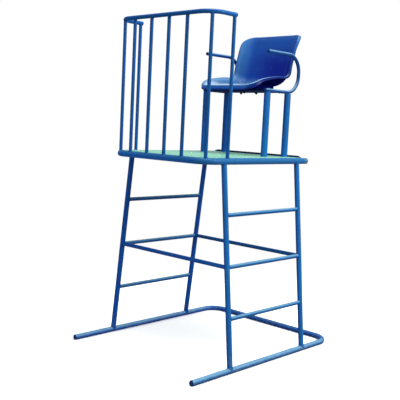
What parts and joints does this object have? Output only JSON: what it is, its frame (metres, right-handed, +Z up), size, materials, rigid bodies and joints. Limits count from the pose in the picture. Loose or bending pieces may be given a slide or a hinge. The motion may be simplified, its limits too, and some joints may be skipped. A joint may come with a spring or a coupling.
{
  "type": "referee chair",
  "caption": "Raised referee chair of blue painted steel tube with ladder sides, a railed platform and a moulded bucket seat with arm loops.",
  "frame": {"origin": "the middle of the floor face, below the centre of the box round the whole chair", "axes": "+Z is up; the sitter faces -Y and the open end of the base points to -Y; +X is the sitter's left, the near side in the picture"},
  "size_m": [1.078, 1.332, 2.034],
  "materials": {
    "frame_paint": "gloss blue paint on steel tube",
    "deck_paint": "satin mint green paint on steel sheet",
    "plug_dark": "dark moulded end plugs and seat feet",
    "plug_grey": "grey blue moulded end plugs",
    "seat_plastic": "deep blue moulded plastic with a soft sheen",
    "zinc": "zinc plated deck screws",
    "black_steel": "blackened steel bolts, washers and nuts"
  },
  "bodies": {
    "root": {"base_tube": "frame_paint", "base_plug": "plug_dark", "leg_front_left": "frame_paint", "leg_front_right": "frame_paint", "leg_back_left": "frame_paint", "leg_back_right": "frame_paint", "rung_left_low": "frame_paint", "rung_left_mid": "frame_paint", "rung_left_top": "frame_paint", "rung_right_low": "frame_paint", "rung_right_mid": "frame_paint", "rung_right_top": "frame_paint", "brace_front": "frame_paint", "brace_back": "frame_paint", "platform_tube": "frame_paint", "platform_plug": "plug_grey", "deck_bar_front": "frame_paint", "deck_bar_middle": "frame_paint", "deck_bar_seat": "frame_paint", "deck_bar_back": "frame_paint", "deck_sheet": "deck_paint", "toe_bar": "frame_paint", "deck_screw": "zinc", "guard_rail": "frame_paint", "guard_plug": "plug_dark", "post_front_1": "frame_paint", "post_front_2": "frame_paint", "post_front_3": "frame_paint", "post_front_4": "frame_paint", "post_corner_left": "frame_paint", "post_corner_right": "frame_paint", "post_side_left": "frame_paint", "post_side_right": "frame_paint", "stand_leg_front_left": "frame_paint", "stand_leg_front_right": "frame_paint", "stand_leg_back_left": "frame_paint", "stand_leg_back_right": "frame_paint", "arm_loop_left": "frame_paint", "arm_loop_right": "frame_paint", "arm_plug": "plug_dark", "seat_bar_front": "frame_paint", "seat_bar_back": "frame_paint", "seat_shell": "seat_plastic", "seat_foot": "plug_dark", "seat_bolt": "black_steel", "seat_washer": "black_steel", "seat_nut": "black_steel"}
  },
  "joints": []
}
